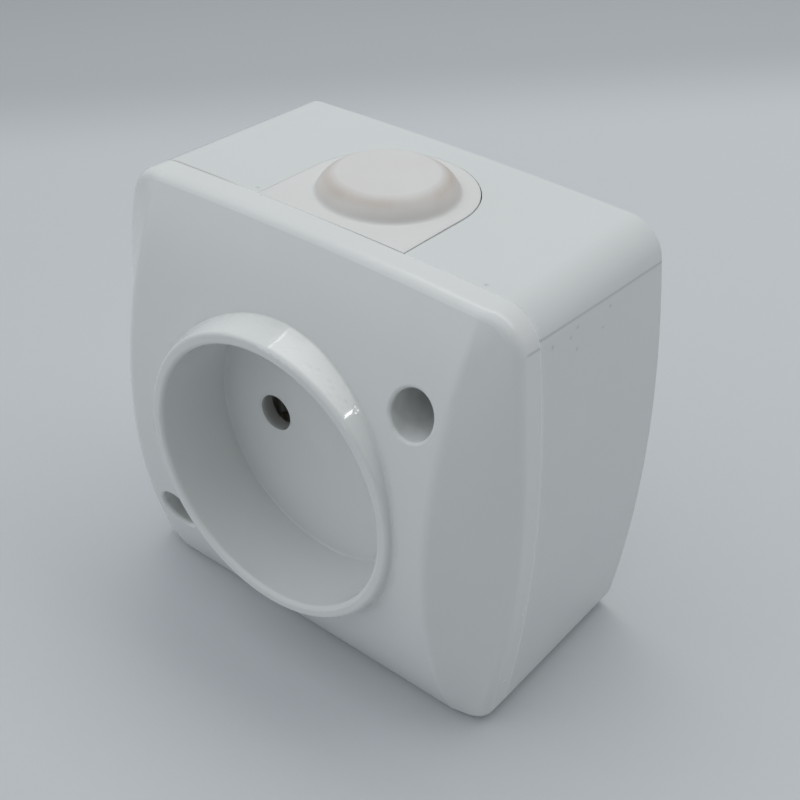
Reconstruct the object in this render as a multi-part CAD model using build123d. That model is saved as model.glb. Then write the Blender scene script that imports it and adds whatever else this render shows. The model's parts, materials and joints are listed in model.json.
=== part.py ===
from build123d import *
from math import asin, pi, sqrt, tan
import os

# Surface-mounted two-pole wall socket, millimetres.
# X runs to the right seen from the front, +Y into the wall and Z up. The origin is the middle of the
# wall face, on the axis of the plug well. Depths are measured from the wall towards the front, so a
# depth d lies at Y = -d.

# Body outline, shared by the box and the cover
body_height = 66.0
seam_width = 70.3
side_draft = 0.7
side_bow = 2.9
top_crown = 0.6
bottom_corner_radius = 4.0
crease_to_corner = 0.8
least_corner_radius = 0.4
wall = 2.2

# Box
box_depth = 28.8
back_wall = 2.6
lip_height = 2.0
lip_thickness = 1.0
lap_clearance = 0.15
seam_bevel = 0.12
wall_hole_diameter = 4.5
wall_hole_rim = 1.8

# Cover, each depth counted on from the one before it
skirt_height = 2.9
facet_fall = 1.3
facet_overhang = 0.5
arch_rise = 8.4
band_width = 54.0
crease_radius = 2.0
front_edge_radius = 1.8

# Collar and plug well
collar_height = 0.9
collar_draft = 2.1
collar_root_fillet = 0.25
rim_wall = 1.8
rim_round = 0.65
well_radius = 19.75
well_depth = 12.6
well_floor_thickness = 2.2
well_corner_radius = 0.3
pin_spacing = 19.0
pin_hole_diameter = 5.6

# Cover screws and the pillars that they pull against
cover_screw_x = 21.9
cover_screw_z = 18.9
screw_hole_diameter = 6.4
screw_hole_lip = 0.5
screw_tube_wall = 1.6
screw_seat_thickness = 2.5
pillar_depth = 14.0
pillar_diameter = 7.6
tube_gap = 0.2
cover_screw_length = 12.0
cover_screw_head = 5.5
cover_screw_head_height = 2.0
small_screw_diameter = 3.0
thread_clearance = 0.05
hole_clearance = 0.3
pilot_floor = 1.0

# Cable entry
dome_radius = 9.8
dome_slope = 2.9
dome_height = 2.75
dome_bulge = 0.5
dome_skin = 1.2
dome_shoulder = 0.4
dome_lead = 2.0
plate_margin = 2.6
slot_gap = 0.06
flange_width = 1.6
flange_thickness = 1.5

# Contact carrier
carrier_back = 5.0
carrier_gap = 1.5
carrier_clearance = 0.4
carrier_wall = 1.6
carrier_corner = 1.5
terminal_height = 12.0
terminal_margin = 6.0
terminal_shelf = 14.0
pocket_floor = 9.2
pocket_clearance = 0.65
post_diameter = 8.0
carrier_screw_high = 13.2
carrier_screw_low = 5.4
carrier_screw_recess = 2.5
carrier_screw_length = 9.2
carrier_screw_head = 5.6
carrier_screw_head_height = 2.1

# Contacts and terminals
brass = 0.8
clip_height = 7.0
clip_grip = 4.4
clip_splay = 0.4
clip_mouth = 0.3
clip_setback = 0.4
clip_grip_length = 4.2
clip_lead = 3.5
clip_bend = 0.9
spring_steel = 0.5
spring_width = 3.2
spring_bend = 0.9
spring_clearance = 0.05
terminal_screw_diameter = 3.5
terminal_screw_head = 6.2
terminal_screw_head_height = 2.3
terminal_screw_length = 5.4
nut_width = 6.6
nut_thickness = 2.3
nut_clearance = 0.15
clamp_clearance = 0.5
clamp_thickness = 1.0
screw_head_round = 0.5
driver_slot = 0.9
driver_slot_depth = 1.0

# Length by which a cutting tool runs past what it cuts
overrun = 1.0

# Body places that follow from the sizes
half_body = body_height / 2
half_band = band_width / 2
half_seam = seam_width / 2
half_top = half_seam - side_bow
crown_height = half_body + top_crown
form_top = crown_height + overrun
wall_face_width = seam_width - 2 * side_draft
bow_radius = (half_body ** 2 + side_bow ** 2) / (2 * side_bow)
crown_radius = (half_top ** 2 + top_crown ** 2) / (2 * top_crown)
corner_half_angle = pi / 4 + asin(half_body / bow_radius) / 2 + asin(half_top / crown_radius) / 2
corner_run = half_top - half_band - crease_to_corner
top_corner_radius = corner_run * tan(corner_half_angle)
front_rounding = min(front_edge_radius, top_corner_radius - least_corner_radius)
skirt_depth = box_depth + skirt_height
edge_depth = skirt_depth + facet_fall
arch_depth = edge_depth + arch_rise
arch_radius = (half_body ** 2 + arch_rise ** 2) / (2 * arch_rise)
rim_depth = arch_depth + collar_height
rim_radius = well_radius + rim_wall
well_floor_depth = rim_depth - well_depth
well_floor_back = well_floor_depth - well_floor_thickness

# Screw places
tube_diameter = screw_hole_diameter + 2 * screw_tube_wall
tube_end = pillar_depth + tube_gap
cover_screw_seat = tube_end + screw_seat_thickness
pilot_diameter = small_screw_diameter + 2 * thread_clearance
passing_diameter = small_screw_diameter + 2 * hole_clearance
cover_screw_places = {
    "upper": (cover_screw_x, cover_screw_z),
    "lower": (-cover_screw_x, -cover_screw_z),
}
wall_hole_places = [(-cover_screw_x, cover_screw_z), (cover_screw_x, -cover_screw_z)]
carrier_screw_places = {"upper": (0, carrier_screw_high), "lower": (0, -carrier_screw_low)}
carrier_screw_seat = terminal_shelf - carrier_screw_recess

# Cable entry places
slot_width = 2 * (dome_radius + plate_margin)
slot_centre_depth = box_depth - dome_lead - dome_radius
dome_top_radius = dome_radius - dome_slope

# Carrier and contact places
half_pin_spacing = pin_spacing / 2
pin_places = {"left": -half_pin_spacing, "right": half_pin_spacing}
carrier_front = well_floor_back - carrier_gap
carrier_width = 2 * (cover_screw_x - tube_diameter / 2 - carrier_clearance)
carrier_low = carrier_screw_low + carrier_screw_head / 2 + hole_clearance + carrier_wall
carrier_high = terminal_height + terminal_margin
spring_drop = clip_height / 2 + spring_bend
pocket_width = clip_grip + 2 * (brass + spring_clearance + spring_steel + pocket_clearance)
pocket_low = spring_drop + spring_steel / 2 + pocket_clearance
clip_front = carrier_front - clip_setback
clip_grip_front = clip_front - clip_lead
clip_grip_back = clip_grip_front - clip_grip_length
tongue_top = pocket_floor + brass
tongue_end = terminal_height + nut_width / 2
terminal_screw_seat = tongue_top + clamp_thickness
nut_room = nut_width + 2 * nut_clearance
clamp_width = pocket_width - 2 * clamp_clearance


def at_depth(depth):
    """Plane facing the front at a depth from the wall."""
    return Plane.XZ.offset(depth)


def rod(place, diameter, start, end):
    """Round bar along the depth, at an (x, z) place."""
    return extrude(at_depth(start) * Pos(*place) * Circle(diameter / 2), amount=end - start)


def bar(place, width, height, start, end):
    """Rectangular bar along the depth, at an (x, z) place."""
    return extrude(at_depth(start) * Pos(*place) * Rectangle(width, height), amount=end - start)


def span(x, width, low, high, start, end):
    """Rectangular bar along the depth, centred at x and reaching from a low to a high edge."""
    return bar((x, (low + high) / 2), width, high - low, start, end)


def width_at(depth):
    """Widest part of the box at a depth: the sides open out towards the seam."""
    return wall_face_width + (seam_width - wall_face_width) * depth / box_depth


def body_outline(width, inset):
    """Front outline: flat bottom, crowned top, sides bowed out, rounder corners at the top."""
    half_width = width / 2 - inset
    half_height = half_body - inset
    corner = half_width - side_bow
    sides = [
        ThreePointArc((-corner, half_height), (0, half_height + top_crown), (corner, half_height)),
        ThreePointArc((corner, half_height), (half_width, 0), (corner, -half_height)),
        Line((corner, -half_height), (-corner, -half_height)),
        ThreePointArc((-corner, -half_height), (-half_width, 0), (-corner, half_height)),
    ]
    sheet = make_face(sides)
    top_radius = max(top_corner_radius - inset, least_corner_radius)
    bottom_radius = max(bottom_corner_radius - inset, least_corner_radius)
    sheet = fillet(sheet.vertices().group_by(Axis.Y)[-1], top_radius)
    return fillet(sheet.vertices().group_by(Axis.Y)[0], bottom_radius)


def box_section(inset, depth):
    """Outline of the box at a depth."""
    return at_depth(depth) * body_outline(width_at(depth), inset)


def box_block(inset, start, end):
    """Solid between two depths that follows the outline as the box widens."""
    return loft([box_section(inset, start), box_section(inset, end)], ruled=True)


def seam_block(inset, start, end):
    """Straight solid with the outline that the body has at the seam."""
    return extrude(at_depth(start) * body_outline(seam_width, inset), amount=end - start)


def slot_outline(width, front):
    """U outline seen from above: round towards the wall, open to the front."""
    half = width / 2
    right_end = (half, -slot_centre_depth)
    left_end = (-half, -slot_centre_depth)
    return make_face([
        Line((-half, -front), (half, -front)),
        Line((half, -front), right_end),
        ThreePointArc(right_end, (0, half - slot_centre_depth), left_end),
        Line(left_end, (-half, -front)),
    ])


def slot_block(width, front, low, high):
    """Solid of the U outline between two heights."""
    return extrude(Plane.XY.offset(low) * slot_outline(width, front), amount=high - low)


def back_box():
    """Box: drafted shell, lap lip, cable slot, pillars, carrier posts and wall holes."""
    bevel_start = box_depth - seam_bevel
    lip_end = box_depth + lip_height
    shell = box_block(0, 0, bevel_start)
    shell += loft([box_section(0, bevel_start), box_section(seam_bevel, box_depth)], ruled=True)
    shell -= box_block(wall, back_wall, box_depth)
    lip = seam_block(wall - lip_thickness, box_depth, lip_end)
    shell += lip - seam_block(wall, box_depth, lip_end)
    shell -= slot_block(slot_width, lip_end + overrun, half_body - wall - overrun, form_top)
    for place in cover_screw_places.values():
        shell += rod(place, pillar_diameter, 0, pillar_depth)
        shell -= rod(place, pilot_diameter, pilot_floor, pillar_depth)
    for place in carrier_screw_places.values():
        shell += rod(place, post_diameter, 0, carrier_back)
        shell -= rod(place, pilot_diameter, pilot_floor, carrier_back)
    for place in wall_hole_places:
        shell += rod(place, wall_hole_diameter + 2 * wall_hole_rim, 0, back_wall)
        shell -= rod(place, wall_hole_diameter, -overrun, back_wall + overrun)
    return shell


def side_profile(back, edge, front):
    """Side view of the cover, a little taller than the body: back, front edge depth and front line."""
    return make_face([
        Line((-back, -form_top), (-edge, -form_top)),
        front,
        Line((-edge, form_top), (-back, form_top)),
        Line((-back, form_top), (-back, -form_top)),
    ])


def arch_at(height, inset):
    """Depth of the arched front at a height above or below the crown."""
    return arch_depth - arch_radius + sqrt((arch_radius - inset) ** 2 - height ** 2)


def arch_profile(inset, back):
    """Side view of the middle band, with its arched front."""
    edge = arch_at(form_top, inset)
    front = ThreePointArc((-edge, -form_top), (-arch_at(0, inset), 0), (-edge, form_top))
    return side_profile(back, edge, front)


def skirt_profile(inset, back):
    """Side view of the cover just outside the skirt, where the slanted facets end."""
    edge = skirt_depth - inset
    return side_profile(back, edge, Line((-edge, -form_top), (-edge, form_top)))


def creased_form(inset, back):
    """Arched band with a facet slanting from it to each side, before it is cut to the outline."""
    band_edge = half_band - inset / 2
    facet_end = half_seam - inset + facet_overhang
    arch = arch_profile(inset, back)
    band = extrude(Plane.YZ * arch, amount=band_edge, both=True)
    sections = [Plane.YZ.offset(band_edge) * arch, Plane.YZ.offset(facet_end) * skirt_profile(inset, back)]
    facet = loft(sections, ruled=True)
    return band + facet + mirror(facet, about=Plane.YZ)


def cover_form(inset, back):
    """Creased form cut to the outline."""
    return creased_form(inset, back) & seam_block(inset, back, rim_depth)


def rounded_cover_form():
    """Outer form of the cover with its creases and front edges rounded and its seam edge bevelled."""
    form = creased_form(0, box_depth)
    front_edges = form.edges().filter_by(lambda edge: edge.bounding_box().max.Y < -box_depth - overrun)
    creases = front_edges.filter_by(lambda edge: abs(abs(edge.center().X) - half_band) < lap_clearance)
    form = fillet(creases, crease_radius) & seam_block(0, box_depth, rim_depth)
    side_walls = form.faces().filter_by(lambda face: abs(face.normal_at().Y) < lap_clearance)
    rim = side_walls.edges().filter_by(lambda edge: edge.bounding_box().max.Y < -box_depth - overrun)
    form = fillet(rim, front_rounding)
    return chamfer(form.faces().sort_by(Axis.Y)[-1].edges(), seam_bevel)


def collar():
    """Round collar with a rounded rim, the plug well and its floor."""
    corners = [
        (0, -well_floor_back),
        (well_radius + wall, -well_floor_back),
        (rim_radius + collar_draft, -edge_depth),
        (rim_radius, -rim_depth),
        (well_radius, -rim_depth),
        (well_radius, -well_floor_depth),
        (0, -well_floor_depth),
    ]
    section = make_face(Polyline(*corners, close=True))
    section = fillet(section.vertices().group_by(Axis.Y)[0], rim_round)
    inner_corner = section.vertices().sort_by_distance((well_radius, -well_floor_depth))[0]
    section = fillet(inner_corner, well_corner_radius)
    return revolve(section, Axis.Y)


def front_cover():
    """Cover: arched shell, collar with well, pin holes and deep screw tubes."""
    lap = wall - lip_thickness - lap_clearance
    shell = rounded_cover_form() - cover_form(wall, box_depth - overrun)
    shell -= seam_block(lap, box_depth - overrun, box_depth + lip_height + lap_clearance)
    shell -= rod((0, 0), rim_radius + well_radius, box_depth - overrun, rim_depth + overrun)
    shell += collar()
    for place in cover_screw_places.values():
        shell += rod(place, tube_diameter, tube_end, rim_depth) & cover_form(wall / 2, tube_end - overrun)
        shell -= rod(place, screw_hole_diameter, cover_screw_seat, rim_depth + overrun)
        shell -= rod(place, passing_diameter, tube_end - overrun, cover_screw_seat)
    for x in pin_places.values():
        shell -= rod((x, 0), pin_hole_diameter, tube_end, rim_depth)
    root = loop_near(shell, (0, -arch_at(rim_radius, 0), rim_radius))
    shell = fillet(root, collar_root_fillet)
    for x, z in cover_screw_places.values():
        shell = fillet(loop_near(shell, (x, -arch_at(z, 0), z)), screw_hole_lip)
    return shell


def loop_near(solid, point):
    """Closed edge of a solid nearest to a point."""
    return solid.edges().filter_by(lambda edge: edge.is_closed).sort_by_distance(point)[0]


def cable_grommet():
    """Soft insert: U plate flush with the top, flange behind the wall, hollow dome to be pierced."""
    front = box_depth - slot_gap
    flange_bottom = half_body - wall - slot_gap - flange_thickness
    dome_top = crown_height + dome_height
    flange = slot_block(slot_width + 2 * flange_width, front, flange_bottom, crown_height)
    insert = flange & box_block(wall + slot_gap, back_wall, box_depth)
    plate = slot_block(slot_width - 2 * slot_gap, front, flange_bottom, form_top)
    insert += plate & box_block(0, 0, box_depth)
    core = [(0, dome_top), (0, flange_bottom), (dome_radius, flange_bottom), (dome_radius, crown_height)]
    section = make_face([
        Polyline(*core),
        SagittaArc((dome_radius, crown_height), (dome_top_radius, dome_top), -dome_bulge),
        Line((dome_top_radius, dome_top), (0, dome_top)),
    ])
    shoulder = section.vertices().sort_by_distance((dome_top_radius, dome_top))[0]
    section = fillet(shoulder, dome_shoulder)
    insert += Pos(0, -slot_centre_depth, 0) * revolve(Plane.XZ * section, Axis.Z)
    hollow = Pos(0, -slot_centre_depth, flange_bottom) * Circle(dome_top_radius - dome_skin)
    return insert - extrude(hollow, amount=dome_top - dome_skin - flange_bottom)


def slotted_screw(place, seat, diameter, length, head, head_height):
    """Round-headed screw whose head rests on a seat and whose shank points to the wall."""
    top = seat + head_height
    screw = rod(place, diameter, seat - length, seat) + rod(place, head, seat, top)
    screw = fillet(screw.edges().group_by(Axis.Y)[0], screw_head_round)
    return screw - bar(place, head, driver_slot, top - driver_slot_depth, top)


def contact_carrier():
    """Insulating block: tall round the contacts, low at the terminals, open to the cable side."""
    block = span(0, carrier_width, -carrier_low, carrier_high, carrier_back, carrier_front)
    block = fillet(block.edges().filter_by(Axis.Y), carrier_corner)
    block -= span(0, carrier_width, pocket_low, carrier_high, terminal_shelf, carrier_front)
    for x in pin_places.values():
        nut_place = (x, terminal_height)
        block -= span(x, pocket_width, -pocket_low, carrier_high, pocket_floor, carrier_front)
        block -= bar(nut_place, nut_room, nut_room, pocket_floor - nut_thickness, pocket_floor)
        block -= rod(nut_place, terminal_screw_diameter + 2 * hole_clearance, carrier_back, pocket_floor)
    for place in carrier_screw_places.values():
        block -= rod(place, passing_diameter, carrier_back, carrier_front)
        block -= rod(place, carrier_screw_head + 2 * hole_clearance, carrier_screw_seat, carrier_front)
    return block


def contact_clip(x):
    """Brass strip folded to two leaves that grip a pin, with a tongue up to the terminal."""
    web = pocket_floor + brass / 2
    grip = (clip_grip + brass) / 2
    leaf = grip + clip_splay
    mouth = leaf + clip_mouth
    waist = (web + clip_grip_back) / 2
    side = [
        (mouth, -clip_front),
        (grip, -clip_grip_front),
        (grip, -clip_grip_back),
        (leaf, -waist),
        (leaf, -web),
    ]
    other_side = [(-across, depth) for across, depth in reversed(side)]
    strip = trace(FilletPolyline(*side, *other_side, radius=clip_bend), line_width=brass)
    clip = extrude(Plane.XY.offset(-clip_height / 2) * Pos(x, 0) * strip, amount=clip_height)
    clip += span(x, clip_grip, 0, tongue_end, pocket_floor, tongue_top)
    hole_diameter = terminal_screw_diameter + 2 * thread_clearance
    return clip - rod((x, terminal_height), hole_diameter, pocket_floor, tongue_top)


def contact_spring(x):
    """Steel spring bent round the two leaves of a clip, open towards the terminal."""
    across = clip_grip / 2 + brass + spring_clearance + spring_steel / 2
    top = clip_height / 2
    corners = [(-across, top), (-across, -spring_drop), (across, -spring_drop), (across, top)]
    path = FilletPolyline(*corners, radius=spring_bend)
    start = (clip_grip_front + clip_grip_back - spring_width) / 2
    return extrude(at_depth(start) * Pos(x, 0) * trace(path, line_width=spring_steel), amount=spring_width)


def terminal_nut(x):
    """Square nut under the tongue of a clip."""
    place = (x, terminal_height)
    nut = bar(place, nut_width, nut_width, pocket_floor - nut_thickness, pocket_floor)
    return nut - rod(place, terminal_screw_diameter + 2 * thread_clearance, carrier_back, pocket_floor)


def clamp_plate(x):
    """Square plate that presses the wire on the tongue."""
    place = (x, terminal_height)
    plate = bar(place, clamp_width, clamp_width, tongue_top, terminal_screw_seat)
    return plate - rod(place, terminal_screw_diameter + 2 * hole_clearance, tongue_top, terminal_screw_seat)


nodes = {
    "back_box": back_box(),
    "front_cover": front_cover(),
    "cable_grommet": cable_grommet(),
    "contact_carrier": contact_carrier(),
}
for name, place in cover_screw_places.items():
    nodes[f"cover_screw_{name}"] = slotted_screw(
        place,
        cover_screw_seat,
        small_screw_diameter,
        cover_screw_length,
        cover_screw_head,
        cover_screw_head_height,
    )
for name, place in carrier_screw_places.items():
    nodes[f"carrier_screw_{name}"] = slotted_screw(
        place,
        carrier_screw_seat,
        small_screw_diameter,
        carrier_screw_length,
        carrier_screw_head,
        carrier_screw_head_height,
    )
for name, x in pin_places.items():
    nodes[f"contact_clip_{name}"] = contact_clip(x)
    nodes[f"contact_spring_{name}"] = contact_spring(x)
    nodes[f"terminal_nut_{name}"] = terminal_nut(x)
    nodes[f"clamp_plate_{name}"] = clamp_plate(x)
    nodes[f"terminal_screw_{name}"] = slotted_screw(
        (x, terminal_height),
        terminal_screw_seat,
        terminal_screw_diameter,
        terminal_screw_length,
        terminal_screw_head,
        terminal_screw_head_height,
    )

os.makedirs("parts", exist_ok=True)
for name, solid in nodes.items():
    export_step(solid, f"parts/{name}.step")
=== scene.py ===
"""Surface-mounted two-pole wall socket: its finishes, soft grommet, threaded screws and studio.

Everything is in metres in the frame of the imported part: X runs to the right seen from the front, +Y into
the wall and Z up. The origin is the middle of the wall face, on the axis of the plug well.
"""
import json
import logging
import math
from abc import ABC, abstractmethod
from dataclasses import dataclass
from enum import Enum
from functools import partial, reduce

import bpy
import numpy as np
from mathutils import Matrix, Vector


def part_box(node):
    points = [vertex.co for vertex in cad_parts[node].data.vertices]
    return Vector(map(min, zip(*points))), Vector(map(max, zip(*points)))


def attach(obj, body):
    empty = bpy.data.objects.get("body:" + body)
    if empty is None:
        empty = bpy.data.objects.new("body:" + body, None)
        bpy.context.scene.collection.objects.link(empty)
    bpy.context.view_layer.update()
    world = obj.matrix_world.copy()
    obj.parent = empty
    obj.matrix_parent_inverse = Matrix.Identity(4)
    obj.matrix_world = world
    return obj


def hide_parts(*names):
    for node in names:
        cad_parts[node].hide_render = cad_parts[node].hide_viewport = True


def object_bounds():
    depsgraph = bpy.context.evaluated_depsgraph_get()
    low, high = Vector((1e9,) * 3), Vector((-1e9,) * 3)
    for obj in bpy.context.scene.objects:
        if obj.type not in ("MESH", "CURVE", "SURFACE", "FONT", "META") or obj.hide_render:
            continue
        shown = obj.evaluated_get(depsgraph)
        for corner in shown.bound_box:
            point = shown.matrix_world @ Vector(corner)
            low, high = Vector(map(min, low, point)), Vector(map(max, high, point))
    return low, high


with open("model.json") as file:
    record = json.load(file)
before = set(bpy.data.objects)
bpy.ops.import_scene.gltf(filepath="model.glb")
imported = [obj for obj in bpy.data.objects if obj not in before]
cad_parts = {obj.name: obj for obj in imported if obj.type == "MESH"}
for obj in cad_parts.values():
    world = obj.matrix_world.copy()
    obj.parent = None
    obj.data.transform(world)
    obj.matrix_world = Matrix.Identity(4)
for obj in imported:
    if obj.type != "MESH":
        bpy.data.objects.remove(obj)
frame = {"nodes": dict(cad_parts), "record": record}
cad_box = [list(corner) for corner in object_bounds()]
log = logging.getLogger("wall_socket")

BODY = "root"
SHARP_ANGLE = math.radians(32)
SIDES = ("left", "right")
ENDS = ("upper", "lower")

Socket = bpy.types.NodeSocket
Colour = tuple[float, float, float]
Point = tuple[float, float, float]
Span = tuple[float, float]
Value = float | Point | Socket


class Slot(Enum):
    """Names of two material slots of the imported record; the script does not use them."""

    GROMMET = "grommet_rubber"
    STEEL = "plated_steel"


class Facing(Enum):
    """Coordinates that count when a distance is measured on a face of the body."""

    SIDE = (0.0, 1.0, 1.0)
    TOP = (1.0, 1.0, 0.0)
    FRONT = (1.0, 0.0, 1.0)


Mark = tuple[Facing, Point, float]


def mount(name: str) -> dict:
    """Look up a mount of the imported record.

    Args:
        name: The mount's name.

    Returns:
        The mount, with its place and dimensions.
    """
    return next(entry for entry in frame["record"]["mounts"] if entry["name"] == name)


def middle_of(node: str) -> Vector:
    """Find the middle of a node's box.

    Args:
        node: Name of a CAD node.

    Returns:
        The middle of its lowest and highest corners.
    """
    low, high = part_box(node)
    return (low + high) / 2


class Board:
    """Short ways to place and link nodes in one node tree."""

    def __init__(self, tree: bpy.types.NodeTree) -> None:
        """Keep the tree that the nodes go into."""
        self.tree = tree

    def feed(self, socket: Socket, value: Value) -> None:
        """Link a socket to another, or set it to a constant.

        Args:
            socket: Input that is fed.
            value: Output to link, number or colour.
        """
        if isinstance(value, Socket):
            self.tree.links.new(value, socket)
        elif isinstance(value, tuple) and socket.type == "RGBA":
            socket.default_value = (*value, 1.0)
        else:
            socket.default_value = value

    def node(self, kind: str, inputs: dict[str | int, Value], **settings: object) -> bpy.types.Node:
        """Place a node and feed its inputs.

        Args:
            kind: Type of the node without its ShaderNode prefix.
            inputs: Values of its inputs, by name or number.
            settings: Properties of the node.

        Returns:
            The new node.
        """
        made = self.tree.nodes.new("ShaderNode" + kind)
        for name, value in settings.items():
            setattr(made, name, value)
        for key, value in inputs.items():
            self.feed(made.inputs[key], value)
        return made

    def math(self, operation: str, *values: Value) -> Socket:
        """Combine numbers with a Math node."""
        return self.node("Math", dict(enumerate(values)), operation=operation).outputs[0]

    def sum(self, *values: Value) -> Socket:
        """Add up numbers."""
        return reduce(partial(self.math, "ADD"), values)

    def product(self, *values: Value) -> Socket:
        """Multiply numbers."""
        return reduce(partial(self.math, "MULTIPLY"), values)

    def most(self, *values: Value) -> Value:
        """Take the greatest of some numbers."""
        return reduce(partial(self.math, "MAXIMUM"), values)

    def swing(self, value: Socket, middle: float, width: float) -> Socket:
        """Vary a number by a width about its middle as a value runs from 0 to 1."""
        return self.math("MULTIPLY_ADD", value, width, middle - width / 2)

    def vector(self, operation: str, *values: Value) -> Socket:
        """Combine vectors with a Vector Math node; a length or a dot product comes out as a number."""
        output = "Value" if operation in ("LENGTH", "DOT_PRODUCT") else "Vector"
        return self.node("VectorMath", dict(enumerate(values)), operation=operation).outputs[output]

    def axes(self, place: Socket) -> tuple[Socket, ...]:
        """Split a place into its x, y and z."""
        return tuple(self.node("SeparateXYZ", {0: place}).outputs)

    def distance(self, place: Socket, middle: Point, facing: Facing) -> Socket:
        """Measure how far a place lies from a point, by the coordinates that count on a face."""
        offset = self.vector("SUBTRACT", place, middle)
        return self.vector("LENGTH", self.vector("MULTIPLY", offset, facing.value))

    def noise(self, place: Socket, scale: Value, detail: float = 2.0) -> Socket:
        """Sample cloudy noise about 0.5, by clouds per metre and octaves."""
        return self.node("TexNoise", {"Vector": place, "Scale": scale, "Detail": detail}).outputs["Fac"]

    def rise(self, value: Value, low: Value, high: Value) -> Socket:
        """Rise smoothly from 0 at low to 1 at high."""
        ends = {"Value": value, "From Min": low, "From Max": high}
        return self.node("MapRange", ends, interpolation_type="SMOOTHSTEP").outputs["Result"]

    def ramp(self, value: Value, edge: float, span: Span) -> Socket:
        """Rise smoothly over a span of offsets from an edge."""
        return self.rise(value, edge + span[0], edge + span[1])

    def hump(self, value: Value, middle: Value, width: Value) -> Socket:
        """Bell curve exp(-((value - middle) / width) squared)."""
        offset = self.math("DIVIDE", self.math("SUBTRACT", value, middle), width)
        return self.math("EXPONENT", self.product(offset, offset, -1.0))

    def mix(self, share: Value, first: Value, second: Value) -> Socket:
        """Blend from a first to a second colour by a share."""
        return self.node("Mix", {0: share, 6: first, 7: second}, data_type="RGBA").outputs[2]


class EffectShelf:
    """Shader node groups that several finishes share, each built once."""

    # Clouds of mottle per ripple; core of a speck; stretch and width of scuffs; scale and range of patches.
    MOTTLE_SCALE = 0.4
    SPECK_CORE = 0.4
    SCUFF_STRETCH = (1.0, 0.5, 0.06)
    SCUFF_WIDTH = 0.012
    PATCH_SCALE = 0.12
    PATCH_RANGE = (0.52, 0.68)

    def __init__(self) -> None:
        """Build the groups."""
        self.skin = self._moulded_skin()
        self.specks = self._sparse_specks()
        self.scuffs = self._hair_scuffs()
        self.ring = self._ring_soil()

    @staticmethod
    def _open(name: str, inputs: tuple[str, ...], outputs: tuple[str, ...]) -> tuple[Board, dict, dict]:
        """Start a group whose first input is a place and whose other sockets are numbers.

        Args:
            name: Name of the group.
            inputs: Names of the number inputs.
            outputs: Names of the number outputs.

        Returns:
            The group's board, its inputs by name and the sockets that its outputs are fed by.
        """
        tree = bpy.data.node_groups.new(name, "ShaderNodeTree")
        tree.interface.new_socket("Place", in_out="INPUT", socket_type="NodeSocketVector")
        for way, sockets in (("INPUT", inputs), ("OUTPUT", outputs)):
            for socket in sockets:
                tree.interface.new_socket(socket, in_out=way, socket_type="NodeSocketFloat")
        entry = tree.nodes.new("NodeGroupInput")
        ending = tree.nodes.new("NodeGroupOutput")
        return Board(tree), dict(entry.outputs.items()), dict(ending.inputs.items())

    def _moulded_skin(self) -> bpy.types.NodeTree:
        """Fine tool grain, broad ripples of the flow and a slow mottle.

        Returns:
            Group with the inputs Place, Fine and Broad, in clouds per metre.
        """
        board, entry, ending = self._open("moulded_skin", ("Fine", "Broad"), ("Grain", "Ripple", "Mottle"))
        slow = board.product(entry["Broad"], self.MOTTLE_SCALE)
        board.feed(ending["Grain"], board.noise(entry["Place"], entry["Fine"]))
        board.feed(ending["Ripple"], board.noise(entry["Place"], entry["Broad"], 1.0))
        board.feed(ending["Mottle"], board.noise(entry["Place"], slow, 4.0))
        return board.tree

    def _sparse_specks(self) -> bpy.types.NodeTree:
        """Small round specks in a chosen share of scattered cells.

        Returns:
            Group with the inputs Place, Cells per metre, Share of cells that hold a speck and Size in cells.
        """
        board, entry, ending = self._open("sparse_specks", ("Cells", "Share", "Size"), ("Mask",))
        cells = board.node("TexVoronoi", {"Vector": entry["Place"], "Scale": entry["Cells"]})
        lot = board.node("SeparateColor", {0: cells.outputs["Color"]})
        chosen = board.math("LESS_THAN", lot.outputs[0], entry["Share"])
        core = board.product(entry["Size"], self.SPECK_CORE)
        spot = board.rise(cells.outputs["Distance"], entry["Size"], core)
        board.feed(ending["Mask"], board.product(chosen, spot))
        return board.tree

    def _hair_scuffs(self) -> bpy.types.NodeTree:
        """Thin rub lines in scattered patches: level lines of a stretched noise.

        Returns:
            Group with the inputs Place and Lines per metre.
        """
        board, entry, ending = self._open("hair_scuffs", ("Lines",), ("Mask",))
        stretched = board.vector("MULTIPLY", entry["Place"], self.SCUFF_STRETCH)
        level = board.math("SUBTRACT", board.noise(stretched, entry["Lines"], 3.0), 0.5)
        lines = board.rise(board.math("ABSOLUTE", level), self.SCUFF_WIDTH, 0.0)
        sparse = board.product(entry["Lines"], self.PATCH_SCALE)
        patches = board.rise(board.noise(entry["Place"], sparse), *self.PATCH_RANGE)
        board.feed(ending["Mask"], board.product(lines, patches))
        return board.tree

    def _ring_soil(self) -> bpy.types.NodeTree:
        """Soft ring round the Y axis: a bell curve of the distance from the axis.

        Returns:
            Group with the inputs Place, Radius and Width in metres.
        """
        board, entry, ending = self._open("ring_soil", ("Radius", "Width"), ("Mask",))
        away = board.vector("LENGTH", board.vector("MULTIPLY", entry["Place"], Facing.FRONT.value))
        board.feed(ending["Mask"], board.hump(away, entry["Radius"], entry["Width"]))
        return board.tree


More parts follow.
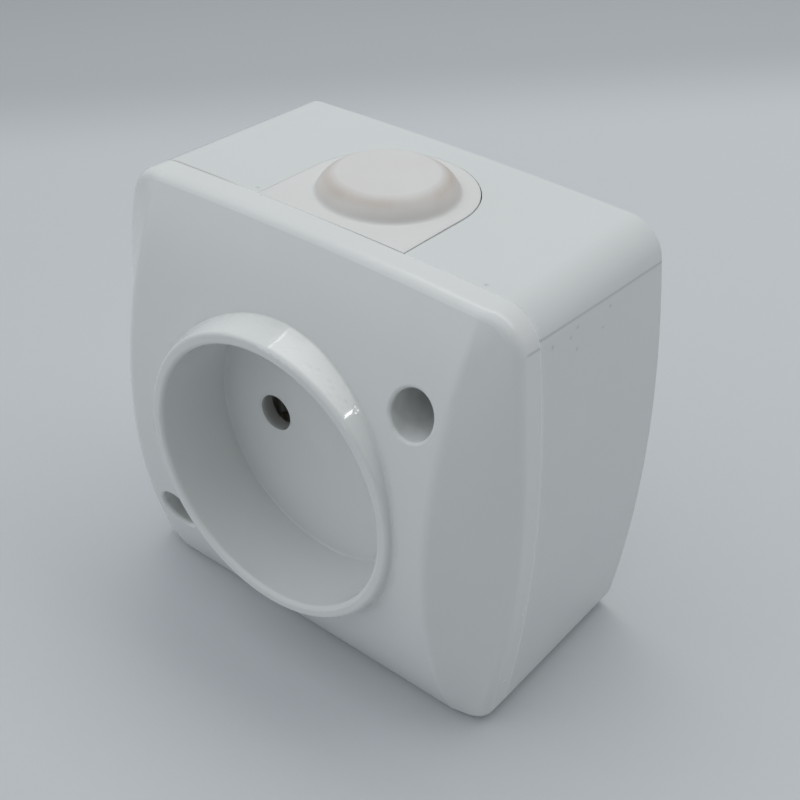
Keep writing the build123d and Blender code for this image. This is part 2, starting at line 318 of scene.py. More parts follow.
class Canvas(Board):
    """Board of a new material.

    Attributes:
        material: The material.
        shader: Its Principled BSDF.
        shelf: The shared effects.
        place: Object coordinates.
    """

    def __init__(self, name: str, shelf: EffectShelf) -> None:
        """Start the material.

        Args:
            name: Its name.
            shelf: The shared effects.
        """
        self.material = bpy.data.materials.new(name)
        self.material.use_nodes = True
        super().__init__(self.material.node_tree)
        self.shader = self.tree.nodes["Principled BSDF"]
        self.shelf = shelf
        self.place = self.node("TexCoord", {}).outputs["Object"]

    def effect(self, group: bpy.types.NodeTree, **values: Value) -> dict[str, Socket]:
        """Place a shared effect, at the Object coordinates unless another Place is given.

        Args:
            group: The shared group.
            values: Values of the group's inputs.

        Returns:
            The group's outputs by name.
        """
        made = self.node("Group", {"Place": self.place, **values}, node_tree=group)
        return dict(made.outputs.items())

    def paint(self, colour: Value, roughness: Value, height: Socket | None = None) -> None:
        """Feed the shader.

        Args:
            colour: Base colour.
            roughness: Roughness.
            height: Height of the relief in metres, which tilts the normal.
        """
        self.feed(self.shader.inputs["Base Color"], colour)
        self.feed(self.shader.inputs["Roughness"], roughness)
        if height is not None:
            bump = self.node("Bump", {"Strength": 1.0, "Distance": 1.0, "Height": height})
            self.feed(self.shader.inputs["Normal"], bump.outputs[0])


@dataclass(frozen=True)
class Finish(ABC):
    """A surface that dresses pieces.

    Attributes:
        name: Name of its material.
        colour: Main colour, linear.
        roughness: Main roughness.
    """

    name: str
    colour: Colour
    roughness: float

    def shade(self, factor: float) -> Colour:
        """Darken or brighten the main colour."""
        return tuple(factor * part for part in self.colour)

    def material(self, shelf: EffectShelf) -> bpy.types.Material:
        """Build the material on Object coordinates.

        Args:
            shelf: The shared effects.

        Returns:
            The new material.
        """
        canvas = Canvas(self.name, shelf)
        self.dress(canvas)
        return canvas.material

    @abstractmethod
    def dress(self, canvas: Canvas) -> None:
        """Paint the canvas.

        Args:
            canvas: Canvas of the material.
        """


@dataclass(frozen=True)
class WhiteMoulding(Finish):
    """Polished white moulding whose sides are a little duller below the end of the top rounding.

    Attributes:
        soil_and_shade: Colour of handling dirt, of any painted shade and of the seam painted darker at its
            left end.
        fleck: Colour of dust flecks.
        side_from: Half-width from which a surface counts as a side.
        side_to: Distance from the wall up to which it does.
        seam_depth: Distance of the seam from the wall.
        seam_highlight: Colour of the painted highlight on the bevels that meet at the seam.
        line_height: Height of the witness line on the side, at the wall.
        line_rise: Rise of that line per metre towards the front.
        line_width: Half-width of the line.
        line_colour: Colour of the line.
        grain: Depth of the tool grain.
        ripple: Depth of the flow ripples.
        marks: Face, middle and radius of flecks at known places.
    """

    soil_and_shade: Colour = (0.42, 0.38, 0.31)
    fleck: Colour = (0.20, 0.20, 0.19)
    side_from: float = 0.0318
    side_to: float = 0.05
    seam_depth: float = 0.0288
    seam_highlight: Colour = (0.95, 0.96, 0.95)
    line_height: float = 0.0279
    line_rise: float = 0.052
    line_width: float = 0.00018
    line_colour: Colour = (0.34, 0.35, 0.35)
    grain: float = 0.0000006
    ripple: float = 0.0000045
    marks: tuple[Mark, ...] = ()

    # Spans of soft edges, shares of colour, ranges of x over which they set in, and roughness added, the
    # same on every moulding.
    SIDE_FADE = (-0.0006, 0.0)
    FRONT_FADE = (-0.0004, 0.0004)
    # Fade of the painted highlight on the seam's bevels at the side; width of the seam; share and range of x
    # of that highlight along the top; share and range of x of the seam painted darker towards its left end.
    SIDE_HIGHLIGHT_FADE = (-0.002, 0.0)
    SEAM_WIDTH = 0.00016
    TOP_HIGHLIGHT = 0.3
    TOP_HIGHLIGHT_RANGE = (-0.020, -0.015)
    SEAM_DARK_SHARE = 0.6
    SEAM_DARK_RANGE = (-0.013, -0.022)
    LINE_SHARE = 0.45
    DULL_GRAIN = 4.0
    MARKS_RANGE = (-0.02, -0.016)
    MARK_SHARE = 0.32
    DUST_SHARE = 0.35
    MOTTLE_SHADE = 0.955
    MOTTLE_ROUGH = 0.06
    DULL_ROUGH = 0.16
    SCUFF_ROUGH = 0.05
    SOIL_ROUGH = 0.3

    def soil_and_shade_mask(self, canvas: Canvas) -> Value:
        """Share of dirt and painted shade; none by default."""
        return 0.0

    def dent_height(self, canvas: Canvas) -> Value:
        """Height of dents in metres; none by default."""
        return 0.0

    def mark_mask(self, canvas: Canvas) -> Socket:
        """Draw the flecks at known places: each a soft disc by its distance along the face.

        Args:
            canvas: Canvas of the material.

        Returns:
            Share of fleck colour.
        """
        total: Value = 0.0
        for facing, middle, radius in self.marks:
            away = canvas.distance(canvas.place, middle, facing)
            total = canvas.most(total, canvas.hump(away, 0.0, radius))
        return canvas.product(total, canvas.rise(canvas.axes(canvas.place)[0], *self.MARKS_RANGE))

    def side_masks(self, canvas: Canvas) -> tuple[Socket, Socket]:
        """Grade the duller side and the witness line above it.

        Args:
            canvas: Canvas of the material.

        Returns:
            Share of dullness and share of line.
        """
        x, y, z = canvas.axes(canvas.place)
        side = canvas.product(
            canvas.ramp(canvas.math("ABSOLUTE", x), self.side_from, self.SIDE_FADE),
            canvas.ramp(y, -self.side_to, self.FRONT_FADE),
        )
        line = canvas.math("MULTIPLY_ADD", y, -self.line_rise, self.line_height)
        above = canvas.math("SUBTRACT", z, line)
        dull = canvas.product(side, canvas.rise(above, self.line_width, -self.line_width))
        return dull, canvas.product(side, canvas.hump(above, 0.0, self.line_width))

    def seam_masks(self, canvas: Canvas) -> tuple[Socket, Socket]:
        """Grade the seam: a painted highlight on its bevels, bright on the right side and faint on the top,
        where it lightens the shaded groove, and the seam painted darker towards its left end.

        Args:
            canvas: Canvas of the material.

        Returns:
            Share of painted highlight, and share of the seam painted darker.
        """
        x, y, _ = canvas.axes(canvas.place)
        seam = canvas.hump(y, -self.seam_depth, self.SEAM_WIDTH)
        # Painted highlight: the bevels are lightened on the side as if a polished chamfer caught the light,
        # and faintly along the top, which lightens the shaded groove.
        bright = canvas.ramp(x, self.side_from, self.SIDE_HIGHLIGHT_FADE)
        faint = canvas.product(canvas.rise(x, *self.TOP_HIGHLIGHT_RANGE), self.TOP_HIGHLIGHT)
        # The seam is painted darker towards its left end.
        seam_darkening = canvas.product(seam, canvas.rise(x, *self.SEAM_DARK_RANGE), self.SEAM_DARK_SHARE)
        return canvas.product(seam, canvas.most(bright, faint)), seam_darkening

    def dress(self, canvas: Canvas) -> None:
        """Paint skin, scuffs, dirt with any painted shade, flecks, and the painted highlight on the seam's
        bevels.

        Args:
            canvas: Canvas of the material.
        """
        skin = canvas.effect(canvas.shelf.skin, Fine=7000.0, Broad=150.0)
        scuffs = canvas.effect(canvas.shelf.scuffs, Lines=900.0)["Mask"]
        dust = canvas.effect(canvas.shelf.specks, Cells=260.0, Share=0.035, Size=0.05)["Mask"]
        bevel, seam_darkening = self.seam_masks(canvas)
        soil_and_shade = canvas.most(self.soil_and_shade_mask(canvas), seam_darkening)
        dull, line = self.side_masks(canvas)
        flecks = canvas.most(
            canvas.product(dust, self.DUST_SHARE),
            canvas.product(self.mark_mask(canvas), self.MARK_SHARE),
        )
        colour = canvas.mix(skin["Mottle"], self.colour, self.shade(self.MOTTLE_SHADE))
        # Painted highlight on the seam's bevels.
        colour = canvas.mix(bevel, colour, self.seam_highlight)
        colour = canvas.mix(canvas.product(line, self.LINE_SHARE), colour, self.line_colour)
        # Dirt and any painted shade, in one colour.
        colour = canvas.mix(soil_and_shade, colour, self.soil_and_shade)
        rough = canvas.sum(
            canvas.swing(skin["Mottle"], self.roughness, self.MOTTLE_ROUGH),
            canvas.product(dull, self.DULL_ROUGH),
            canvas.product(scuffs, self.SCUFF_ROUGH),
            canvas.product(canvas.most(soil_and_shade, flecks), self.SOIL_ROUGH),
        )
        tooth = canvas.math("MULTIPLY_ADD", dull, self.DULL_GRAIN * self.grain, self.grain)
        height = canvas.sum(
            canvas.product(skin["Ripple"], self.ripple),
            canvas.product(skin["Grain"], tooth),
            self.dent_height(canvas),
        )
        canvas.paint(canvas.mix(flecks, colour, self.fleck), rough, height)


@dataclass(frozen=True)
class CoverFinish(WhiteMoulding):
    """White moulding with thin dirt at the collar's root, the screw mouths and the pin holes, and painted
    shade on the walls of the pin holes.

    Attributes:
        root_radius: Radius of the collar's root.
        screw_places: Middles of the screw mouths.
        screw_radius: Radius of a screw mouth.
        pin_places: Middles of the pin holes.
        pin_radius: Radius of a pin hole.
    """

    root_radius: float = 0.0225
    screw_places: tuple[Point, ...] = ()
    screw_radius: float = 0.0033
    pin_places: tuple[Point, ...] = ()
    pin_radius: float = 0.00288

    # Width and share of dirt, and the clouds that break it up; share, depth and edge of the painted shade in
    # the bores; heights of rubbing; ring and depth of dents.
    ROOT_SOIL = (0.0003, 0.10)
    SCREW_SOIL = (0.0003, 0.22)
    PIN_SOIL = (0.0004, 0.30)
    SOIL_CLOUDS = (420.0, 3.0)
    SOIL_RANGE = (0.35, 0.7)
    BORE_SHADE = 0.8
    BORE_DEPTH = 0.0012
    BORE_EDGE = 0.00008
    RUBBED_RANGE = (0.0286, 0.0332)
    DENT_RING = (0.0218, 0.0012)
    DENT_DEPTH = 0.000014

    def side_masks(self, canvas: Canvas) -> tuple[Socket, Socket]:
        """Grade the duller side with the rubbed top edge, and the witness line.

        Args:
            canvas: Canvas of the material.

        Returns:
            Share of dullness and share of line.
        """
        dull, line = super().side_masks(canvas)
        rubbed = canvas.rise(canvas.axes(canvas.place)[2], *self.RUBBED_RANGE)
        return canvas.most(dull, rubbed), line

    def soil_and_shade_mask(self, canvas: Canvas) -> Socket:
        """Sum thin rings of dirt, broken up by noise, and add the painted shade in the pin holes.

        Args:
            canvas: Canvas of the material.

        Returns:
            Share of dirt and painted shade.
        """
        rings = [((0.0, 0.0, 0.0), self.root_radius, self.ROOT_SOIL)]
        rings += [(spot, self.screw_radius, self.SCREW_SOIL) for spot in self.screw_places]
        rings += [(spot, self.pin_radius, self.PIN_SOIL) for spot in self.pin_places]
        total: Value = 0.0
        for spot, radius, (width, share) in rings:
            offset = canvas.vector("SUBTRACT", canvas.place, spot)
            ring = canvas.effect(canvas.shelf.ring, Place=offset, Radius=radius, Width=width)["Mask"]
            total = canvas.math("MULTIPLY_ADD", ring, share, total)
        patches = canvas.rise(canvas.noise(canvas.place, *self.SOIL_CLOUDS), *self.SOIL_RANGE)
        return canvas.most(canvas.product(total, patches), self.bore_shade_mask(canvas))

    def dent_height(self, canvas: Canvas) -> Value:
        """Shallow knocks along the collar, from plugs that missed the well.

        Args:
            canvas: Canvas of the material.

        Returns:
            Height in metres.
        """
        radius, width = self.DENT_RING
        knocks = canvas.effect(canvas.shelf.specks, Cells=1100.0, Share=0.5, Size=0.55)["Mask"]
        ring = canvas.effect(canvas.shelf.ring, Radius=radius, Width=width)["Mask"]
        return canvas.product(knocks, ring, -self.DENT_DEPTH)

    def bore_shade_mask(self, canvas: Canvas) -> Value:
        """Paint shade on the walls of the pin holes, deepening behind the well's floor.

        Args:
            canvas: Canvas of the material.

        Returns:
            Share of painted shade.
        """
        depth = canvas.axes(canvas.place)[1]
        total: Value = 0.0
        for spot in self.pin_places:
            away = canvas.distance(canvas.place, spot, Facing.FRONT)
            inside = canvas.rise(away, self.pin_radius, self.pin_radius - self.BORE_EDGE)
            deeper = canvas.rise(depth, spot[1] - self.BORE_DEPTH, spot[1])
            # Painted shade, deepening down the walls of the pin holes.
            total = canvas.most(total, canvas.product(inside, deeper, self.BORE_SHADE))
        return total


@dataclass(frozen=True)
class SoftRubber(Finish):
    """Soft off-white insert with dirt rubbed into the slope of its dome and painted shade towards the dome's
    foot.

    Attributes:
        soil_and_shade: Colour of the dirt and of the painted shade at the foot.
        axis: A point on the dome's upright axis.
        slope_from: Radius where the slope starts.
        slope_to: Radius where it meets the plate.
    """

    soil_and_shade: Colour
    axis: Point
    slope_from: float
    slope_to: float

    # Where each part of the dirt and of the painted shade at the foot sets in, from the start or the end of
    # the slope; middle and width of the shoulder.
    SLOPE_IN = (-0.0002, 0.0003)
    SLOPE_OUT = (0.0002, -0.0004)
    DISC_OUT = (0.0006, -0.0006)
    FOOT_SHADE_IN = (-0.0011, 0.0)
    SHOULDER = (0.0014, 0.0009)
    # Clouds of the smears, their range, and how much they add to the least of the soil.
    SMEAR_CLOUDS = (130.0, 3.0)
    SMEAR_RANGE = (0.3, 0.7)
    SMEAR_ADDS = (0.45, 0.55)
    # Shares of dirt and of the painted shade at the foot, depths of ripple and grain, and what mottle and
    # dirt change.
    SHOULDER_SHARE = 0.52
    DISC_SHARE = 0.12
    SLOPE_SHARE = 0.12
    FOOT_SHADE_SHARE = 0.14
    RIPPLE = 0.000016
    GRAIN = 0.0000025
    MOTTLE_SHADE = 1.04
    MOTTLE_ROUGH = 0.14
    SOIL_ROUGH = 0.15

    def soil_and_shade_mask(self, canvas: Canvas) -> Socket:
        """Grade the dirt by the distance from the dome's axis, with smears on all but the painted shade at
        the foot.

        Args:
            canvas: Canvas of the material.

        Returns:
            Share of dirt and painted shade.
        """
        away = canvas.distance(canvas.place, self.axis, Facing.TOP)
        slope = canvas.product(
            canvas.ramp(away, self.slope_from, self.SLOPE_IN),
            canvas.ramp(away, self.slope_to, self.SLOPE_OUT),
        )
        disc = canvas.ramp(away, self.slope_from, self.DISC_OUT)
        # Painted shade, darkening the side towards the dome's foot.
        foot = canvas.ramp(away, self.slope_to, self.FOOT_SHADE_IN)
        middle, width = self.SHOULDER
        shoulder = canvas.hump(away, self.slope_from + middle, width)
        smears = canvas.rise(canvas.noise(canvas.place, *self.SMEAR_CLOUDS), *self.SMEAR_RANGE)
        worn = canvas.math("MULTIPLY_ADD", smears, *self.SMEAR_ADDS)
        return canvas.sum(
            canvas.product(shoulder, worn, self.SHOULDER_SHARE),
            canvas.product(disc, worn, self.DISC_SHARE),
            canvas.product(slope, worn, self.SLOPE_SHARE),
            canvas.product(slope, foot, self.FOOT_SHADE_SHARE),
        )

    def dress(self, canvas: Canvas) -> None:
        """Paint skin, dirt and the painted shade at the foot.

        Args:
            canvas: Canvas of the material.
        """
        skin = canvas.effect(canvas.shelf.skin, Fine=5200.0, Broad=420.0)
        soil_and_shade = self.soil_and_shade_mask(canvas)
        colour = canvas.mix(skin["Mottle"], self.colour, self.shade(self.MOTTLE_SHADE))
        rough = canvas.sum(
            canvas.swing(skin["Mottle"], self.roughness, self.MOTTLE_ROUGH),
            canvas.product(soil_and_shade, self.SOIL_ROUGH),
        )
        height = canvas.sum(
            canvas.product(skin["Ripple"], self.RIPPLE),
            canvas.product(skin["Grain"], self.GRAIN),
        )
        canvas.paint(canvas.mix(soil_and_shade, colour, self.soil_and_shade), rough, height)


@dataclass(frozen=True)
class MattMoulding(Finish):
    """Matt insulating moulding with a tool grain and a slow mottle.

    Attributes:
        grain: Depth of the grain.
    """

    grain: float = 0.000004

    MOTTLE_SHADE = 0.88
    GRAIN_ROUGH = 0.2

    def dress(self, canvas: Canvas) -> None:
        """Paint the skin.

        Args:
            canvas: Canvas of the material.
        """
        skin = canvas.effect(canvas.shelf.skin, Fine=4200.0, Broad=300.0)
        colour = canvas.mix(skin["Mottle"], self.colour, self.shade(self.MOTTLE_SHADE))
        rough = canvas.swing(skin["Grain"], self.roughness, self.GRAIN_ROUGH)
        canvas.paint(colour, rough, canvas.product(skin["Grain"], self.grain))


@dataclass(frozen=True)
class BrightMetal(Finish):
    """Rolled or plated metal with fine lines and a thin tarnish.

    Attributes:
        tarnish: Colour of the tarnish.
        share: Greatest share of tarnish.
        bare: Share of the surface that no dulling film covers.
        grain: Depth of the rolling grain.
    """

    tarnish: Colour
    share: float
    bare: float = 1.0
    grain: float = 0.0000012

    STAIN_RANGE = (0.42, 0.7)
    GRAIN_ROUGH = 0.1
    STAIN_ROUGH = 0.3
    SCUFF_ROUGH = 0.2

    def dress(self, canvas: Canvas) -> None:
        """Paint rolling lines and tarnish.

        Args:
            canvas: Canvas of the material.
        """
        canvas.shader.inputs["Metallic"].default_value = self.bare
        skin = canvas.effect(canvas.shelf.skin, Fine=9000.0, Broad=520.0)
        scuffs = canvas.effect(canvas.shelf.scuffs, Lines=2600.0)["Mask"]
        stain = canvas.product(canvas.rise(skin["Mottle"], *self.STAIN_RANGE), self.share)
        rough = canvas.sum(
            canvas.swing(skin["Grain"], self.roughness, self.GRAIN_ROUGH),
            canvas.product(stain, self.STAIN_ROUGH),
            canvas.product(scuffs, self.SCUFF_ROUGH),
        )
        height = canvas.product(skin["Grain"], self.grain)
        canvas.paint(canvas.mix(stain, self.colour, self.tarnish), rough, height)


@dataclass(frozen=True)
class PaintedShadePaper(Finish):
    """Matt paper with painted shade: it darkens to another colour behind the object, where less light reaches
    it.

    Attributes:
        shade_and_fibre_colour: Colour of the painted shade where the paper has darkened, also mixed into its
            fibres.
        way: Direction in which the painted shade deepens.
        steps: Start, end and share of each step of the painted shade.
        fibre: Share of that colour in the paper's fibres.
    """

    shade_and_fibre_colour: Colour
    way: Point
    steps: tuple[Point, ...] = ((0.148, 0.207, 0.7), (0.2, 0.32, 0.3))
    fibre: float = 0.06

    FIBRE_CLOUDS = (900.0, 4.0)

    def dress(self, canvas: Canvas) -> None:
        """Paint the paper, with painted shade by its distance along the way.

        Args:
            canvas: Canvas of the material.
        """
        along = canvas.vector("DOT_PRODUCT", canvas.place, self.way)
        # Painted shade, in steps along the way.
        painted_shade = [canvas.product(canvas.rise(along, start, end), share) for start, end, share in self.steps]
        fibres = canvas.product(canvas.noise(canvas.place, *self.FIBRE_CLOUDS), self.fibre)
        colour = canvas.mix(canvas.sum(*painted_shade, fibres), self.colour, self.shade_and_fibre_colour)
        canvas.paint(colour, self.roughness)


def put_piece(name: str, points: np.ndarray, faces: list, material: bpy.types.Material) -> bpy.types.Object:
    """Make a smooth-shaded piece that keeps the sharp edges of its form.

    Args:
        name: Name of the piece.
        points: Vertices, one row each.
        faces: Vertex numbers of each face, seen from outside anticlockwise.
        material: Its finish.

    Returns:
        The piece, at the origin.
    """
    mesh = bpy.data.meshes.new(name)
    mesh.from_pydata(points.tolist(), [], faces)
    mesh.polygons.foreach_set("use_smooth", np.ones(len(mesh.polygons), bool))
    mesh.set_sharp_from_angle(angle=SHARP_ANGLE)
    mesh.materials.append(material)
    piece = bpy.data.objects.new(name, mesh)
    bpy.context.scene.collection.objects.link(piece)
    return piece


def ring_skin(rings: np.ndarray, start: int = 0) -> np.ndarray:
    """Number the quads between the rings of a stack.

    Each quad joins point n of ring k with point n of ring k + 1 and the next points round both.

    Args:
        rings: Points by ring and place round it.
        start: Number of the stack's first vertex.

    Returns:
        Vertex numbers, four to a row.
    """
    index = start + np.arange(rings.shape[0] * rings.shape[1]).reshape(rings.shape[:2])
    turned = np.roll(index, -1, axis=1)
    return np.stack([index[:-1], index[1:], turned[1:], turned[:-1]], axis=-1).reshape(-1, 4)


def pole_fan(ring: np.ndarray, pole: int, upward: bool) -> np.ndarray:
    """Number the triangles from a ring to a pole.

    Args:
        ring: Vertex numbers round the ring, anticlockwise seen from above.
        pole: Number of the pole's vertex.
        upward: Whether the fan faces up.

    Returns:
        Vertex numbers, three to a row.
    """
    turned = np.roll(ring, -1)
    ends = (ring, turned) if upward else (turned, ring)
    return np.stack([np.full(len(ring), pole), *ends], axis=-1)


@dataclass
class SoftGrommet:
    """U plate flush with the top of the box, flange under the wall and a hollow dome to be pierced.

    Attributes:
        dome_slope: How much narrower the dome is at its top.
        dome_bulge: How far its side swells from a straight slope.
        dome_height: Height of the dome over the plate.
        dome_dish: How far its top has sunk in the middle.
        dome_skin: Thickness of the dome.
        root_round: Radius where the dome meets the plate.
        flange_width: How far the flange reaches under the wall.
        flange_thickness: Thickness of the flange.
        plate_thickness: Height from the flange to the top of the box.
        lead: Distance from the plate's front edge to the dome's foot.
        crown: Rise of the body's crowned top over its corners.
        crown_half: Half the width over which it rises.
        edge_round: Rounding of the plate's upper edge.
        seam: Gap round the CAD solid's plate.
        fit: Gap round the plate where it is tight.
        lip: How far its front edge swells over the bevel of the cover.
        slack: How far the plate's edge has drawn back where the gap is widest.
        slack_turn: Angle from +X at which the gap is widest.
        around: Points round the insert.
        side_rings: Rings up the dome's side.
        disc_rings: Rings over its top.
    """

    dome_slope: float = 0.0029
    dome_bulge: float = 0.0005
    dome_height: float = 0.00275
    dome_dish: float = 0.00012
    dome_skin: float = 0.0012
    root_round: float = 0.0003
    flange_width: float = 0.0016
    flange_thickness: float = 0.0015
    plate_thickness: float = 0.00226
    lead: float = 0.00199
    crown: float = 0.0006
    crown_half: float = 0.0322
    edge_round: float = 0.00006
    seam: float = 0.00006
    fit: float = 0.00001
    lip: float = 0.00007
    slack: float = 0.00030
    slack_turn: float = math.radians(-20)
    around: int = 240
    side_rings: int = 14
    disc_rings: int = 7

    # Shares of the dome's top, of the root's radius out and up, of the plate and of its rounded edge.
    DISC_SPAN = (0.1, 0.97)
    ROOT_OUT = (0.25, 1.0)
    ROOT_UP = (0.35, 0.0)
    PLATE_STEPS = (0.35, 0.7, 1.0)
    EDGE_STEP = 0.3

    def __post_init__(self) -> None:
        """Take the place and the outer sizes from the CAD node."""
        low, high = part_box("cable_grommet")
        self.half_flange = (high.x - low.x) / 2
        self.half_plate = self.half_flange - self.flange_width - self.fit
        self.centre = Vector((0.0, high.y - self.half_flange, 0.0))
        self.front = self.centre.y - low.y + self.seam - self.fit
        self.plate_front = self.front + self.lip
        self.dome_radius = self.front - self.lead
        self.plate_top = high.z - self.dome_height

    def outline(self, turn: np.ndarray, half: float, front: float) -> np.ndarray:
        """Distance of the U outline from the dome's axis: round behind, straight at the sides and front.

        In front it is the shorter of half / |cos| and front / |sin|; behind it is half.

        Args:
            turn: Angles from +X.
            half: Half the width of the U.
            front: Distance of its front edge from the axis.

        Returns:
            The distances.
        """
        along = np.maximum(-np.sin(turn), 1e-9)
        aside = np.maximum(np.abs(np.cos(turn)), 1e-9)
        return np.where(np.sin(turn) >= 0, half, np.minimum(half / aside, front / along))

    def dome_side(self) -> tuple[np.ndarray, np.ndarray]:
        """Side of the dome as a circular arc over the chord from its top edge to its foot.

        At a share t of the chord c, the arc stands off by sqrt(R^2 - (c (t - 1/2))^2) - (R - bulge).

        Returns:
            Radii and heights over the plate.
        """
        share = np.linspace(0.0, 1.0, self.side_rings)
        chord = math.hypot(self.dome_slope, self.dome_height)
        radius = (chord ** 2 / 4 + self.dome_bulge ** 2) / (2 * self.dome_bulge)
        off = np.sqrt(radius ** 2 - (chord * (share - 0.5)) ** 2) - (radius - self.dome_bulge)
        top = self.dome_radius - self.dome_slope
        radii = top + self.dome_slope * share + off * self.dome_height / chord
        heights = self.dome_height * (1 - share) + off * self.dome_slope / chord
        return radii, heights

    def rings(self) -> np.ndarray:
        """Stack the insert's rings from the middle of the dome out, down and back to the hollow.

        The plate's rings sink with the crowned top by crown times (x / crown_half) squared. Its edge is drawn
        back by slack times (1/2 + cos(turn from the widest gap) / 2) cubed.

        Returns:
            Points by ring and place round it.
        """
        fronts = np.repeat([self.plate_front, self.front], 2)
        halves = np.repeat([self.half_plate, self.half_flange], 2)
        corners = np.arctan2(-fronts, halves * np.array([-1, 1, -1, 1]))
        turn = np.unique(np.concatenate([np.linspace(-np.pi, np.pi, self.around, endpoint=False), corners]))
        drawn = (0.5 + 0.5 * np.cos(turn - self.slack_turn)) ** 3
        plate = self.outline(turn, self.half_plate, self.plate_front) - self.slack * drawn
        flange = self.outline(turn, self.half_flange, self.front)
        radii, heights = self.dome_side()
        disc = np.linspace(*self.DISC_SPAN, self.disc_rings) * radii[0]
        dish = self.dome_height - self.dome_dish * (1 - (disc / radii[0]) ** 2)
        foot = self.dome_radius + self.root_round * np.array(self.ROOT_OUT)
        under = -self.plate_thickness
        base = under - self.flange_thickness - self.crown
        ceiling = self.dome_height - self.dome_skin
        hollow = radii[0] - self.dome_skin
        edge = self.edge_round
        dome = list(zip(disc, dish)) + list(zip(radii[:-1], heights[:-1]))
        plate_rings = list(zip(foot, self.root_round * np.array(self.ROOT_UP)))
        plate_rings += [(foot[-1] + (plate - edge - foot[-1]) * share, 0.0) for share in self.PLATE_STEPS]
        plate_rings.append((plate - self.EDGE_STEP * edge, -self.EDGE_STEP * edge))
        plate_rings += [(plate, -edge), (plate, under), (flange, under)]
        lower = [(flange, base), (hollow, base), (hollow, ceiling)]
        stack = dome + plate_rings + lower
        radius = np.stack([np.broadcast_to(ring, turn.shape) for ring, _ in stack])
        height = np.array([level for _, level in stack])[:, None]
        follows = np.zeros(len(stack))
        follows[len(dome):len(dome) + len(plate_rings)] = 1.0
        across = radius * np.cos(turn)
        sag = follows[:, None] * self.crown * (across / self.crown_half) ** 2
        return np.stack([
            across,
            self.centre.y + radius * np.sin(turn),
            self.plate_top + height - sag,
        ], axis=-1)

    def build(self, material: bpy.types.Material) -> bpy.types.Object:
        """Build the insert in place of its CAD solid.

        Args:
            material: Its finish.

        Returns:
            The piece.
        """
        rings = self.rings()
        around = rings.shape[1]
        last = rings.shape[0] * around
        poles = np.stack([rings[0].mean(axis=0), rings[-1].mean(axis=0)])
        faces = ring_skin(rings).tolist()
        faces += pole_fan(np.arange(around), last, True).tolist()
        faces += pole_fan(np.arange(last - around, last), last + 1, False).tolist()
        points = np.concatenate([rings.reshape(-1, 3), poles])
        piece = put_piece("soft_grommet", points, faces, material)
        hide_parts("cable_grommet")
        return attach(piece, BODY)


